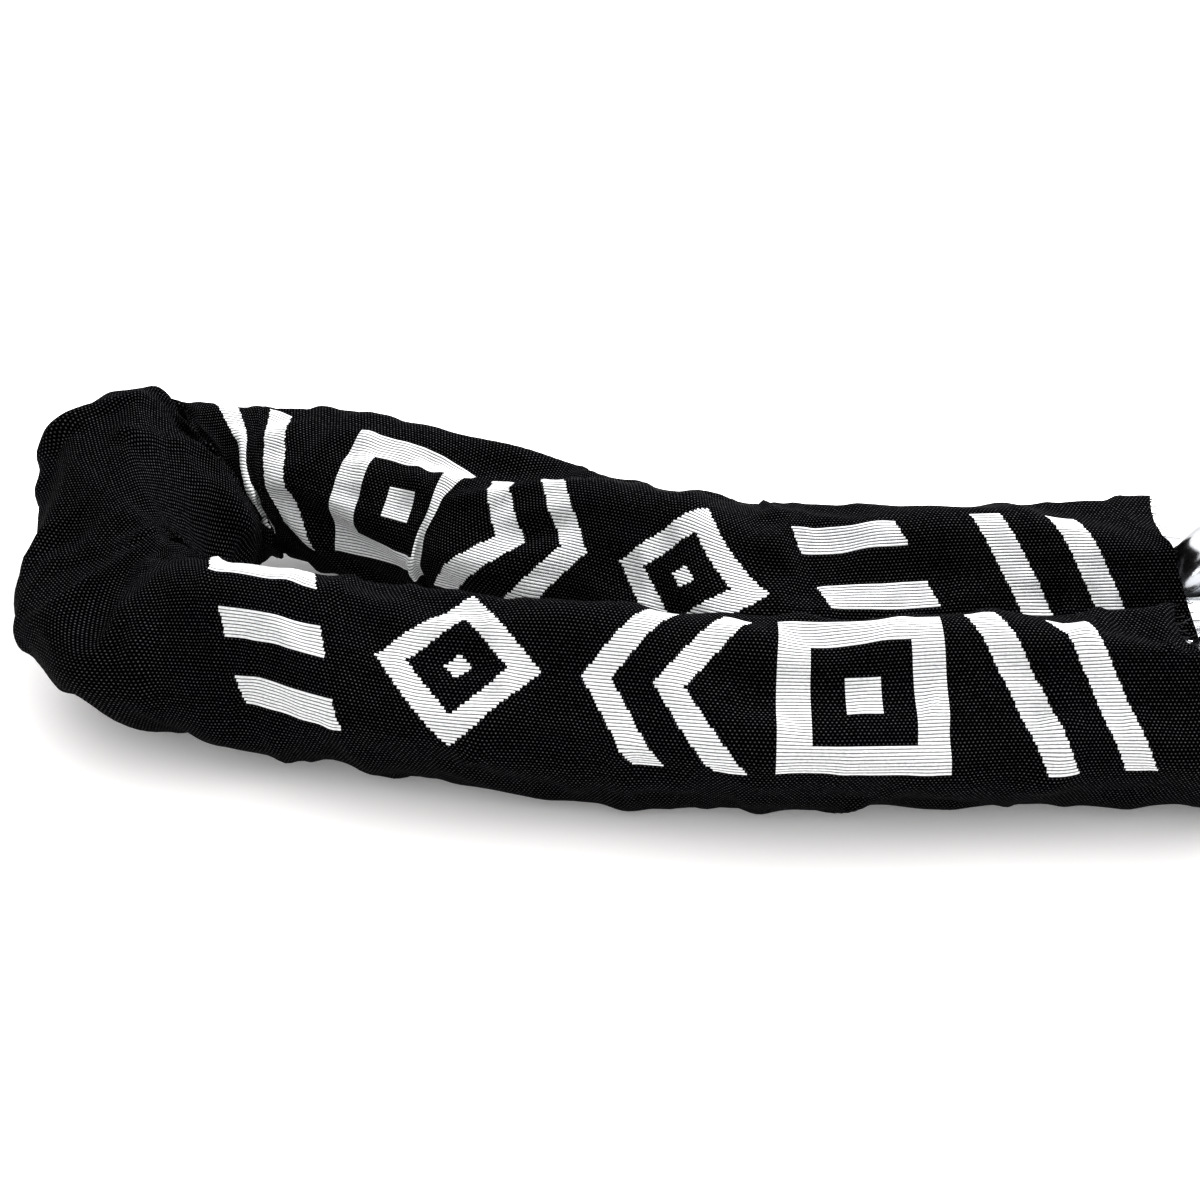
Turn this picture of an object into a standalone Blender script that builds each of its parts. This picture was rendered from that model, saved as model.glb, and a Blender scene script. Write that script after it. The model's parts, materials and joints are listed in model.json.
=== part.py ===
"""Chain lock: a hardened chain in a woven sleeve, folded into a U, with a padlock on its back end.

Metres, +Z up, X along the strands, and the surface that the lock lies on at z = 0. The links
alternate between standing (in a vertical plane) and lying (in a horizontal one). Each strand runs
from the standing link at the bend of the U, the apex, to a standing link at its open end.
"""
import math

import bmesh
import bpy
from mathutils import Matrix, Vector

MM = 0.001

# Chain: one size of link, made of round wire.
WIRE = 10.0 * MM
LINK_INNER_WIDTH = 14.0 * MM
LINK_INNER_LENGTH = 31.4 * MM
LINK_PLAY = 0.4 * MM
CROWN_STEPS = 6

# Sleeve: a woven tube round the links, which lies on the surface.
SLEEVE_OUTER = 18.4 * MM
SLEEVE_INNER = 17.3 * MM
SLEEVE_SIDES = 12
PART_GAP = 0.3 * MM
FRONT_OVERHANG = 5.0 * MM
BACK_OVERHANG = 1.0 * MM

# Layout: the headings of the links in plan, in degrees from +X, from the apex outwards.
APEX_HEADING = 74.0
FRONT_HEADINGS = (-57.0, -14.0, -14.0, -9.0, -3.0, 3.0, 0.0, 0.0)
BACK_HEADINGS = (25.0, -24.0, -46.0, -25.0, 0.0, 3.0, 0.0, 0.0)

# Padlock: distances along X start at the middle of the shackle's crossbar.
SHACKLE_BAR = 10.0 * MM
LEG_SPREAD = 19.0 * MM
SHACKLE_CORNER = 11.0 * MM
LOCK_SHIFT = 2.0 * MM
TOE_END = 47.0 * MM
HEEL_END = 70.0 * MM
BODY_START = 30.0 * MM
BODY_LENGTH = 64.0 * MM
BODY_HALF_WIDTH = 25.0 * MM
BODY_HALF_DEPTH = 16.1 * MM
BODY_CORNER = 5.0 * MM
JACKET_WALL = 2.0 * MM
JACKET_START = 40.0 * MM
JACKET_END = 90.0 * MM
BORE_PLAY = 0.3 * MM
CORE_BORE = 8.8 * MM
CORE_BORE_START = 35.0 * MM
BALL_RADIUS = 4.0 * MM
BALL_PLACE = 41.0 * MM
BALL_IN = 9.8 * MM
BALL_TRAVEL = 2.4 * MM
TOE_ROOM = 2.0 * MM
CAM_NARROW = 5.5 * MM
CAM_LOBE = 2.4 * MM
CAM_HALF_LENGTH = 5.0 * MM
CAM_STEPS = 24
BARREL_OUTER = 8.5 * MM
BARREL_INNER = 6.4 * MM
BARREL_START = 48.0 * MM
BARREL_END = 92.0 * MM
BARREL_FLOOR = 3.0 * MM
TANG = 2.5 * MM
TANG_PLAY = 1.0 * MM
SIDEBAR_HALF = 1.0 * MM
SIDEBAR_END = 7.0 * MM
SIDEBAR_SINK = 0.05 * MM
SIDEBAR_TOP_GAP = 0.2 * MM
SLOT_ROOM = 1.0 * MM
DISC_COUNT = 6
DISC_THICKNESS = 2.4 * MM
DISC_PITCH = 5.4 * MM
DISC_FIRST = 55.0 * MM
BLADE_RADIUS = 3.0 * MM
BLADE_FLAT = 0.4 * MM
BLADE_START = 52.5 * MM
NOTCH_TURN = 15.0
NOTCH_TURN_STEP = 11.0
BOW_START = 104.0 * MM
BOW_LENGTH = 30.0 * MM
BOW_HALF_WIDTH = 12.0 * MM
BOW_HALF_THICKNESS = 1.9 * MM
BOW_CORNER = 7.0 * MM
BOW_SOCKET = 12.0 * MM
RING_HOLE = 3.5 * MM
PLATE_HALF_WIDTH = 21.0 * MM
PLATE_HALF_DEPTH = 12.0 * MM
PLATE_THICKNESS = 3.0 * MM
PLATE_CORNER = 4.0 * MM
PLATE_HOLE = 4.5 * MM
SCREW_SPREAD = 15.0 * MM
SCREW_HOLE = 1.5 * MM
SCREW_SHANK = 1.2 * MM
SCREW_DEPTH = 8.0 * MM
SCREW_ROOM = 0.5 * MM
SCREW_HEAD = 2.6 * MM
SCREW_HEAD_TOP = 2.2 * MM
SCREW_HEAD_HEIGHT = 1.6 * MM
SCREW_SINK = 0.5 * MM
SPRING_TURNS = 3
SPRING_WIRE = 1.1 * MM
SPRING_RADIUS = 3.6 * MM
SPRING_LENGTH = 9.0 * MM
SPRING_GAP = 1.0 * MM
ROUND_SIDES = 20
SMALL_SIDES = 12

WIRE_RADIUS = WIRE / 2
CROWN_RADIUS = LINK_INNER_WIDTH / 2 + WIRE_RADIUS
CROWN_OFFSET = (LINK_INNER_LENGTH - LINK_INNER_WIDTH) / 2
PITCH = LINK_INNER_LENGTH - LINK_PLAY
LYING_SPAN = 2 * CROWN_OFFSET
STANDING_SPAN = 2 * (PITCH - CROWN_OFFSET)
AXIS_HEIGHT = SLEEVE_OUTER
BODY_END = BODY_START + BODY_LENGTH
CUT = 100 * MM


# ---------------------------------------------------------------- scene, collections, materials

def clear_scene():
    for obj in list(bpy.data.objects):
        bpy.data.objects.remove(obj)


def collection(name):
    made = bpy.data.collections.new(name)
    bpy.context.scene.collection.children.link(made)
    return made


def material(name, colour, roughness, metallic):
    made = bpy.data.materials.new(name)
    made.use_nodes = True
    shader = made.node_tree.nodes["Principled BSDF"]
    shader.inputs["Base Color"].default_value = (*colour, 1.0)
    shader.inputs["Roughness"].default_value = roughness
    shader.inputs["Metallic"].default_value = metallic
    return made


def add_object(name, mesh, home, finish=None, smooth=True):
    obj = bpy.data.objects.new(name, mesh)
    home.objects.link(obj)
    if finish:
        mesh.materials.append(finish)
    if smooth:
        mesh.shade_smooth()
        mesh.set_sharp_from_angle(angle=math.radians(35))
    return obj


def mesh_of(bm, name):
    bmesh.ops.recalc_face_normals(bm, faces=bm.faces)
    mesh = bpy.data.meshes.new(name)
    bm.to_mesh(mesh)
    bm.free()
    return mesh


# ---------------------------------------------------------------- shapes

def along_x(start, end, side=0.0):
    """A matrix that lays a unit +Z primitive, centred at the origin, along X."""
    middle = Matrix.Translation(((start + end) / 2, side, 0))
    return middle @ Matrix.Rotation(math.pi / 2, 4, "Y")


def rod(name, radius, start, end, side=0.0, sides=ROUND_SIDES, tip=None):
    """A cylinder along X, or a cone with another radius at its far end."""
    bm = bmesh.new()
    bmesh.ops.create_cone(
        bm, cap_ends=True, segments=sides, radius1=radius, radius2=radius if tip is None else tip,
        depth=end - start, matrix=along_x(start, end, side))
    return mesh_of(bm, name)


def sphere(name, radius, place):
    bm = bmesh.new()
    bmesh.ops.create_uvsphere(bm, u_segments=12, v_segments=8, radius=radius,
                              matrix=Matrix.Translation(place))
    return mesh_of(bm, name)


def block(name, low, high, corner=0.0, steps=3):
    """A box between two corners, with its four edges along X rounded."""
    bm = bmesh.new()
    size = high - low
    place = Matrix.Translation((low + high) / 2) @ Matrix.Diagonal((*size, 1.0))
    bmesh.ops.create_cube(bm, size=1.0, matrix=place)
    if corner:
        long_edges = [e for e in bm.edges
                      if abs((e.verts[0].co - e.verts[1].co).normalized().x) > 0.99]
        bmesh.ops.bevel(bm, geom=long_edges, offset=corner, segments=steps, profile=0.5,
                        affect="EDGES")
    return mesh_of(bm, name)


def cut(obj, cutter_mesh, cutters, operation="DIFFERENCE"):
    """Cuts or joins a mesh with a Boolean modifier; the cutter follows the object."""
    tool = add_object(f"{obj.name}_cutter_{len(obj.modifiers) + 1}", cutter_mesh, cutters, None, False)
    tool.parent = obj
    tool.hide_render = True
    tool.display_type = "WIRE"
    step = obj.modifiers.new(cutter_mesh.name, "BOOLEAN")
    step.operation = operation
    step.object = tool


def wire_mesh(name, points, radius, closed):
    """The mesh of a round wire along a list of points, with flat ends if it is open."""
    curve = bpy.data.curves.new(name, "CURVE")
    curve.dimensions = "3D"
    curve.bevel_depth = radius
    curve.bevel_resolution = 2
    curve.use_fill_caps = not closed
    spline = curve.splines.new("POLY")
    spline.points.add(len(points) - 1)
    for point, place in zip(spline.points, points):
        point.co = (*place, 1.0)
    spline.use_cyclic_u = closed
    holder = bpy.data.objects.new(name, curve)
    bpy.context.scene.collection.objects.link(holder)
    bpy.context.view_layer.update()
    seen = holder.evaluated_get(bpy.context.evaluated_depsgraph_get())
    bm = bmesh.new()
    bm.from_mesh(bpy.data.meshes.new_from_object(seen))
    bpy.data.objects.remove(holder)
    bmesh.ops.remove_doubles(bm, verts=bm.verts, dist=1e-6)
    return mesh_of(bm, name)


# ---------------------------------------------------------------- layout of the chain

def heading(degrees):
    angle = math.radians(degrees)
    return Vector((math.cos(angle), math.sin(angle), 0.0))


def is_lying(number):
    return number % 2 == 1


def pivots_of(first_heading, headings):
    """The points where neighbouring links' axes meet in plan, from the apex link outwards."""
    place = heading(first_heading) * STANDING_SPAN / 2
    points = [place]
    for number, angle in enumerate(headings[:-1], start=1):
        span = LYING_SPAN if is_lying(number) else STANDING_SPAN
        place = place + heading(angle) * span
        points.append(place)
    return [point + Vector((0, 0, AXIS_HEIGHT)) for point in points]


def centres_of(pivots, headings):
    """The middle of each link of a strand."""
    middles = [(a + b) / 2 for a, b in zip(pivots, pivots[1:])]
    return middles + [pivots[-1] + heading(headings[-1]) * STANDING_SPAN / 2]


def turns_sideways(number):
    """Whether the joint before this link is a vertical hinge; the others lift the chain."""
    return number == 1 or not is_lying(number)


def joint_of(number, pivots, centres, headings):
    """The place and axis of the joint between link number - 1 and this one."""
    if turns_sideways(number):
        return pivots[number - 1], Vector((0, 0, 1))
    before = heading(headings[number - 2])
    return centres[number - 2] + before * CROWN_OFFSET, before.cross(Vector((0, 0, 1)))


# ---------------------------------------------------------------- chain

def link_outline():
    """The closed centreline of a link in its own plane, with its length along X."""
    points = []
    for side in (1, -1):
        for step in range(CROWN_STEPS + 1):
            angle = side * math.pi / 2 - side * math.pi * step / CROWN_STEPS
            points.append(Vector((side * (CROWN_OFFSET + CROWN_RADIUS * math.cos(angle)),
                                  CROWN_RADIUS * math.sin(angle), 0.0)))
    return points


def make_link(name, centre, angle, lying, origin, home, finish):
    """One link, with its object's origin on its joint."""
    tilt = Matrix.Identity(4) if lying else Matrix.Rotation(math.pi / 2, 4, "X")
    mesh = wire_mesh(name, link_outline(), WIRE_RADIUS, True)
    turn = Matrix.Rotation(math.radians(angle), 4, "Z")
    offset = Matrix.Translation(turn.inverted() @ (centre - origin))
    mesh.transform(offset @ tilt)
    link = add_object(name, mesh, home, finish)
    link.location = origin
    link.rotation_euler = (0, 0, math.radians(angle))
    return link


# ---------------------------------------------------------------- sleeve

def ring(bm, middle, across, radius, direction):
    """A ring of the sleeve's polygon at a point, in the plane that holds up and across.

    The polygon is true to size at right angles to the direction, so a mitred ring is wider.
    """
    square = Vector((0, 0, 1)).cross(direction)
    stretch = 1 / across.dot(square)
    corner = radius / math.cos(math.pi / SLEEVE_SIDES)
    verts = []
    for side in range(SLEEVE_SIDES):
        angle = 2 * math.pi * (side + 0.5) / SLEEVE_SIDES
        sideways = across * (corner * math.cos(angle) * stretch)
        verts.append(bm.verts.new(middle + sideways + Vector((0, 0, corner * math.sin(angle)))))
    return verts


def bridge(bm, first, second):
    for side in range(SLEEVE_SIDES):
        after = (side + 1) % SLEEVE_SIDES
        bm.faces.new((first[side], first[after], second[after], second[side]))


def make_sleeve(name, start, bend, end, home, finish):
    """A tube wall from start to end, with a mitre where it bends."""
    into = (bend - start).normalized()
    out = (end - bend).normalized()
    up = Vector((0, 0, 1))
    mitre = up.cross((into + out).normalized())
    planes = ((start, up.cross(into), into), (bend, mitre, into), (end, up.cross(out), out))
    bm = bmesh.new()
    walls = []
    for radius in (SLEEVE_OUTER, SLEEVE_INNER):
        rings = [ring(bm, point - bend, across, radius, way) for point, across, way in planes]
        for first, second in zip(rings, rings[1:]):
            bridge(bm, first, second)
        walls.append(rings)
    for place in (0, -1):
        bridge(bm, walls[0][place], walls[1][place])
    sleeve = add_object(name, mesh_of(bm, name), home, finish)
    sleeve.location = bend
    return sleeve


def make_strand(side, first_heading, headings, overhang, home, finishes):
    """The links and sleeve sections of one strand; returns its last link's centre."""
    pivots = pivots_of(first_heading, headings)
    centres = centres_of(pivots, headings)
    for number, centre in enumerate(centres, start=1):
        origin, _ = joint_of(number, pivots, centres, headings)
        make_link(f"link_{side}_{number}", centre, headings[number - 1], is_lying(number), origin,
                  home, finishes["zinc"])
    starts = [Vector((0, 0, AXIS_HEIGHT))] + centres[:-1]
    last_end = pivots[-1] + heading(headings[-1]) * (overhang + PART_GAP / 2)
    ends = centres[:-1] + [last_end]
    for number, (start, bend, end) in enumerate(zip(starts, pivots, ends), start=1):
        first = start + (bend - start).normalized() * PART_GAP / 2
        last = end + (bend - end).normalized() * PART_GAP / 2
        make_sleeve(f"sleeve_{side}_{number}", first, bend, last, home, finishes["weave"])
    return centres[-1]


# ---------------------------------------------------------------- padlock

def shackle_points():
    """The centreline of the shackle: heel leg, crossbar with round corners, toe leg."""
    points = [Vector((HEEL_END, -LEG_SPREAD, 0))]
    for side in (-1, 1):
        for step in range(CROWN_STEPS + 1):
            turn = math.pi / 2 * (step if side < 0 else CROWN_STEPS - step) / CROWN_STEPS
            points.append(Vector((SHACKLE_CORNER * (1 - math.sin(turn)),
                                  side * (LEG_SPREAD - SHACKLE_CORNER * (1 - math.cos(turn))), 0)))
    return points + [Vector((TOE_END, LEG_SPREAD, 0))]


def make_shackle(home, cutters, finish):
    """The shackle, with a pocket for a ball on the inner side of each leg."""
    shackle = add_object("shackle", wire_mesh("shackle", shackle_points(), SHACKLE_BAR / 2, False),
                         home, finish)
    for side in (-1, 1):
        place = Vector((BALL_PLACE, side * (BALL_IN + BALL_TRAVEL), 0))
        cut(shackle, sphere("ball_pocket", BALL_RADIUS + 2 * PART_GAP, place), cutters)
    return shackle


def make_body(home, cutters, finish):
    """The lock's block, with bores for the legs, the core and the balls."""
    low = Vector((BODY_START, -BODY_HALF_WIDTH, -BODY_HALF_DEPTH))
    high = Vector((BODY_END, BODY_HALF_WIDTH, BODY_HALF_DEPTH))
    body = add_object("lock_body", block("lock_body", low, high, BODY_CORNER), home, finish)
    leg_bore = SHACKLE_BAR / 2 + BORE_PLAY
    before = BODY_START - CUT
    cut(body, rod("toe_bore", leg_bore, before, TOE_END + TOE_ROOM, LEG_SPREAD), cutters)
    heel_floor = HEEL_END + SPRING_LENGTH + 2 * SPRING_GAP
    cut(body, rod("heel_bore", leg_bore, before, heel_floor, -LEG_SPREAD), cutters)
    cut(body, rod("core_bore", CORE_BORE, CORE_BORE_START, BODY_END + CUT), cutters)
    bm = bmesh.new()
    turn = Matrix.Translation((BALL_PLACE, 0, 0)) @ Matrix.Rotation(math.pi / 2, 4, "X")
    bmesh.ops.create_cone(bm, cap_ends=True, segments=ROUND_SIDES, radius1=BALL_RADIUS + BORE_PLAY,
                          radius2=BALL_RADIUS + BORE_PLAY, depth=2 * LEG_SPREAD, matrix=turn)
    cut(body, mesh_of(bm, "ball_bore"), cutters)
    for side in (-1, 1):
        hole = rod("screw_hole", SCREW_HOLE, BODY_END - SCREW_DEPTH - SCREW_ROOM, BODY_END + CUT,
                   side * SCREW_SPREAD, SMALL_SIDES)
        cut(body, hole, cutters)
    return body


def make_jacket(home, cutters, finish):
    """The rubber bumper: an open tube round the block."""
    inner = PART_GAP + JACKET_WALL
    low = Vector((JACKET_START, -BODY_HALF_WIDTH - inner, -BODY_HALF_DEPTH - inner))
    high = Vector((JACKET_END, BODY_HALF_WIDTH + inner, BODY_HALF_DEPTH + inner))
    jacket = add_object("jacket", block("jacket", low, high, BODY_CORNER + inner), home, finish)
    low = Vector((JACKET_START - CUT, -BODY_HALF_WIDTH - PART_GAP, -BODY_HALF_DEPTH - PART_GAP))
    high = Vector((JACKET_END + CUT, BODY_HALF_WIDTH + PART_GAP, BODY_HALF_DEPTH + PART_GAP))
    cut(jacket, block("jacket_hollow", low, high, BODY_CORNER + PART_GAP), cutters)
    return jacket


def make_cam(home, cutters, finish):
    """The cam: its radius grows evenly from its narrow sides to its two lobes."""
    bm = bmesh.new()
    outline = []
    for step in range(CAM_STEPS):
        angle = 2 * math.pi * step / CAM_STEPS
        quarter = abs((angle / (math.pi / 2)) % 2 - 1)
        radius = CAM_NARROW + CAM_LOBE * quarter
        outline.append(bm.verts.new((BALL_PLACE - CAM_HALF_LENGTH, radius * math.sin(angle),
                                     radius * math.cos(angle))))
    face = bm.faces.new(outline)
    grown = bmesh.ops.extrude_face_region(bm, geom=[face])["geom"]
    moved = [v for v in grown if isinstance(v, bmesh.types.BMVert)]
    bmesh.ops.translate(bm, verts=moved, vec=(2 * CAM_HALF_LENGTH, 0, 0))
    cam = add_object("cam", mesh_of(bm, "cam"), home, finish)
    half = TANG + PART_GAP
    slot = block("tang_slot", Vector((BALL_PLACE + TANG_PLAY, -half, -half)),
                 Vector((BALL_PLACE + CUT, half, half)))
    cut(cam, slot, cutters)
    return cam


def make_barrel(home, cutters, finish):
    """The turning core: a cup with a square tang in front and a slot for the sidebar."""
    barrel = add_object("barrel", rod("barrel", BARREL_OUTER, BARREL_START, BARREL_END), home, finish)
    tang = block("tang", Vector((BALL_PLACE + 2 * TANG_PLAY, -TANG, -TANG)),
                 Vector((BARREL_START + BARREL_FLOOR / 3, TANG, TANG)))
    cut(barrel, tang, cutters, "UNION")
    disc_bore = rod("disc_bore", BARREL_INNER, BARREL_START + BARREL_FLOOR, BARREL_END - BARREL_FLOOR)
    cut(barrel, disc_bore, cutters)
    cut(barrel, rod("keyway", BLADE_RADIUS + BORE_PLAY, BARREL_END - CUT / 2, BARREL_END + CUT), cutters)
    half = SIDEBAR_HALF + PART_GAP
    slot = block("sidebar_slot", Vector((DISC_FIRST - SLOT_ROOM, -half, 0)),
                 Vector((BARREL_END - SIDEBAR_END + SLOT_ROOM, half, BARREL_OUTER + SLOT_ROOM)))
    cut(barrel, slot, cutters)
    return barrel


def half_round(name, radius, start, end):
    """A half cylinder along X, with its flat side down."""
    bm = bmesh.new()
    bmesh.ops.create_cone(bm, cap_ends=True, segments=ROUND_SIDES, radius1=radius, radius2=radius,
                          depth=end - start, matrix=along_x(start, end))
    cut_plane = bmesh.ops.bisect_plane(bm, geom=bm.verts[:] + bm.edges[:] + bm.faces[:],
                                       plane_co=(0, 0, -BLADE_FLAT), plane_no=(0, 0, 1),
                                       clear_inner=True)
    edges = [e for e in cut_plane["geom_cut"] if isinstance(e, bmesh.types.BMEdge)]
    bmesh.ops.holes_fill(bm, edges=edges)
    return mesh_of(bm, name)


def make_discs(home, cutters, finish):
    """The locking discs on the key, all turned in line by it."""
    discs = []
    for number in range(1, DISC_COUNT + 1):
        start = DISC_FIRST + (number - 1) * DISC_PITCH
        name = f"disc_{number}"
        disc = add_object(name, rod(name, BARREL_INNER - PART_GAP, start, start + DISC_THICKNESS),
                          home, finish)
        hole = half_round("key_hole", BLADE_RADIUS + BORE_PLAY, start - CUT, start + CUT)
        hole.transform(Matrix.Translation((0, 0, -PART_GAP / 2)))
        cut(disc, hole, cutters)
        discs.append(disc)
    return discs


def make_sidebar(home, finish):
    low = Vector((DISC_FIRST, -SIDEBAR_HALF, BARREL_INNER - SIDEBAR_SINK))
    high = Vector((BARREL_END - SIDEBAR_END, SIDEBAR_HALF, BARREL_OUTER - SIDEBAR_TOP_GAP))
    return add_object("sidebar", block("sidebar", low, high), home, finish)


def make_ball(name, side, home, finish):
    place = Vector((BALL_PLACE, side * BALL_IN, 0))
    return add_object(name, sphere(name, BALL_RADIUS, place), home, finish)


def make_spring(home, finish):
    """The coil behind the heel leg, which throws the shackle up."""
    start = HEEL_END + SPRING_GAP
    steps = SMALL_SIDES * SPRING_TURNS
    points = []
    for step in range(steps + 1):
        angle = 2 * math.pi * step / SMALL_SIDES
        points.append(Vector((start + SPRING_LENGTH * step / steps,
                              SPRING_RADIUS * math.cos(angle) - LEG_SPREAD,
                              SPRING_RADIUS * math.sin(angle))))
    return add_object("shackle_spring", wire_mesh("shackle_spring", points, SPRING_WIRE / 2, False),
                      home, finish)


def make_plate(home, cutters, finish):
    """The hard plate over the bottom of the block, with the key's hole."""
    start = BODY_END + PART_GAP
    low = Vector((start, -PLATE_HALF_WIDTH, -PLATE_HALF_DEPTH))
    high = Vector((start + PLATE_THICKNESS, PLATE_HALF_WIDTH, PLATE_HALF_DEPTH))
    plate = add_object("guard_plate", block("guard_plate", low, high, PLATE_CORNER), home, finish)
    cut(plate, rod("key_opening", PLATE_HOLE, start - CUT, start + CUT), cutters)
    for side in (-1, 1):
        hole = rod("screw_hole", SCREW_HOLE, start - CUT, start + CUT, side * SCREW_SPREAD, SMALL_SIDES)
        cut(plate, hole, cutters)
    return plate


def make_screws(home, cutters, finish):
    """The plate's two screws: a shank and a low head with a hexagon socket."""
    head = BODY_END + 2 * PART_GAP + PLATE_THICKNESS
    screws = []
    for number, side in ((1, -1), (2, 1)):
        place = side * SCREW_SPREAD
        top = rod("head", SCREW_HEAD, head, head + SCREW_HEAD_HEIGHT, place, 16, SCREW_HEAD_TOP)
        screw = add_object(f"plate_screw_{number}", top, home, finish)
        shank = rod("shank", SCREW_SHANK, BODY_END - SCREW_DEPTH, head + SCREW_SINK, place, SMALL_SIDES)
        cut(screw, shank, cutters, "UNION")
        socket = rod("socket", SCREW_SHANK, head + SCREW_SINK + 0.1 * MM, head + CUT, place, 6)
        cut(screw, socket, cutters)
        screws.append(screw)
    return screws


def make_key(home, cutters, finishes):
    """The key: a half-round blade with a cut for each disc, and a moulded bow."""
    blade = add_object("key_blade", half_round("key_blade", BLADE_RADIUS, BLADE_START,
                                               BOW_START + BOW_SOCKET), home, finishes["nickel"])
    for number in range(DISC_COUNT):
        start = DISC_FIRST + number * DISC_PITCH
        turn = math.radians(NOTCH_TURN + NOTCH_TURN_STEP * (number % 3))
        depth = BLADE_RADIUS * math.cos(turn)
        notch = block("notch", Vector((start, -CUT, depth)),
                      Vector((start + DISC_THICKNESS, CUT, CUT)))
        cut(blade, notch, cutters)
    low = Vector((BOW_START, -BOW_HALF_THICKNESS, -BOW_HALF_WIDTH))
    high = Vector((BOW_START + BOW_LENGTH, BOW_HALF_THICKNESS, BOW_HALF_WIDTH))
    mesh = block("key_bow", low, high)
    bm = bmesh.new()
    bm.from_mesh(mesh)
    corners = [e for e in bm.edges if abs((e.verts[0].co - e.verts[1].co).normalized().y) > 0.99]
    bmesh.ops.bevel(bm, geom=corners, offset=BOW_CORNER, segments=4, profile=0.5, affect="EDGES")
    bmesh.ops.rotate(bm, verts=bm.verts, matrix=Matrix.Rotation(math.pi / 2, 3, "X"))
    bow = add_object("key_bow", mesh_of(bm, "key_bow"), home, finishes["plastic"])
    socket = half_round("blade_socket", BLADE_RADIUS + PART_GAP, BOW_START - CUT,
                        BOW_START + BOW_SOCKET + PART_GAP)
    socket.transform(Matrix.Translation((0, 0, -PART_GAP / 2)))
    cut(bow, socket, cutters)
    bm = bmesh.new()
    ring_hole = Matrix.Translation((BOW_START + BOW_LENGTH - BOW_CORNER, 0, 0))
    bmesh.ops.create_cone(bm, cap_ends=True, segments=ROUND_SIDES, radius1=RING_HOLE,
                          radius2=RING_HOLE, depth=CUT, matrix=ring_hole)
    cut(bow, mesh_of(bm, "ring_hole"), cutters)
    return [blade, bow]


def make_padlock(end_link, home, cutters, finishes):
    """Everything on the back strand's last link, with each origin on the lock's own axis."""
    pieces = [
        make_shackle(home, cutters, finishes["chrome"]),
        make_body(home, cutters, finishes["steel"]),
        make_jacket(home, cutters, finishes["rubber"]),
        make_plate(home, cutters, finishes["nickel"]),
        make_cam(home, cutters, finishes["brass"]),
        make_barrel(home, cutters, finishes["brass"]),
        make_sidebar(home, finishes["nickel"]),
        make_ball("ball_heel", -1, home, finishes["chrome"]),
        make_ball("ball_toe", 1, home, finishes["chrome"]),
        make_spring(home, finishes["nickel"]),
        *make_discs(home, cutters, finishes["brass"]),
        *make_screws(home, cutters, finishes["nickel"]),
        *make_key(home, cutters, finishes),
    ]
    bar = end_link + Vector((2 * CROWN_OFFSET + 2 * CROWN_RADIUS - PITCH, LOCK_SHIFT, 0))
    for piece in pieces:
        piece.location = bar
    return bar


# ---------------------------------------------------------------- whole

def stand_on_origin(home):
    """Moves the whole lock so that its box stands on the origin, bottom centre."""
    bpy.context.view_layer.update()
    points = [obj.matrix_world @ vert.co for obj in home.objects for vert in obj.data.vertices]
    low = [min(point[k] for point in points) for k in range(3)]
    high = [max(point[k] for point in points) for k in range(3)]
    shift = Vector((-(low[0] + high[0]) / 2, -(low[1] + high[1]) / 2, -low[2]))
    for obj in home.objects:
        obj.location += shift
    return shift


def main():
    clear_scene()
    home = collection("chain_lock")
    cutters = collection("cutters")
    finishes = {
        "zinc": material("zinc_plate", (0.62, 0.63, 0.65), 0.28, 1.0),
        "chrome": material("chrome", (0.75, 0.76, 0.78), 0.12, 1.0),
        "steel": material("painted_steel", (0.06, 0.06, 0.065), 0.45, 0.6),
        "brass": material("brass", (0.72, 0.55, 0.28), 0.3, 1.0),
        "nickel": material("nickel", (0.66, 0.65, 0.62), 0.25, 1.0),
        "rubber": material("rubber", (0.03, 0.03, 0.032), 0.75, 0.0),
        "plastic": material("plastic", (0.03, 0.03, 0.035), 0.4, 0.0),
        "weave": material("woven_nylon", (0.035, 0.033, 0.038), 0.7, 0.0),
    }
    middle = Vector((0, 0, AXIS_HEIGHT))
    make_link("link_apex", middle, APEX_HEADING, False, middle, home, finishes["zinc"])
    make_strand("front", APEX_HEADING - 180, FRONT_HEADINGS, FRONT_OVERHANG, home, finishes)
    end_link = make_strand("back", APEX_HEADING, BACK_HEADINGS, BACK_OVERHANG, home, finishes)
    bar = make_padlock(end_link, home, cutters, finishes)
    shift = stand_on_origin(home)
    return shift, bar + shift


SHIFT, SHACKLE_AXIS = main()
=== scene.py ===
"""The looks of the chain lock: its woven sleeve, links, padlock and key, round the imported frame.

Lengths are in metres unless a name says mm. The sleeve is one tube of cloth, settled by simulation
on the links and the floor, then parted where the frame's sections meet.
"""
import json
import math

import bmesh
import bpy
import numpy as np
from mathutils import Matrix, Vector


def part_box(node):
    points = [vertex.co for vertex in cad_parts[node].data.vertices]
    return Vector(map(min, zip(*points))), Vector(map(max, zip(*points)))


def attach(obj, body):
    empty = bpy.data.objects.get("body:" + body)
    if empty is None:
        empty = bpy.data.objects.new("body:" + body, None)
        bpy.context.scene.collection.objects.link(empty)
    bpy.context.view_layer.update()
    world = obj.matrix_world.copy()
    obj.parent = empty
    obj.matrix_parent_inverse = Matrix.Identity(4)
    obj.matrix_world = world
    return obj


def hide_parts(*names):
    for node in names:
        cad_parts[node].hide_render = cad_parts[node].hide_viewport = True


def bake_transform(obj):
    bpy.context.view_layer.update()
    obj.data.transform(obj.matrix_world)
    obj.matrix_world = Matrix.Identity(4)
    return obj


MM = 0.001

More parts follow.
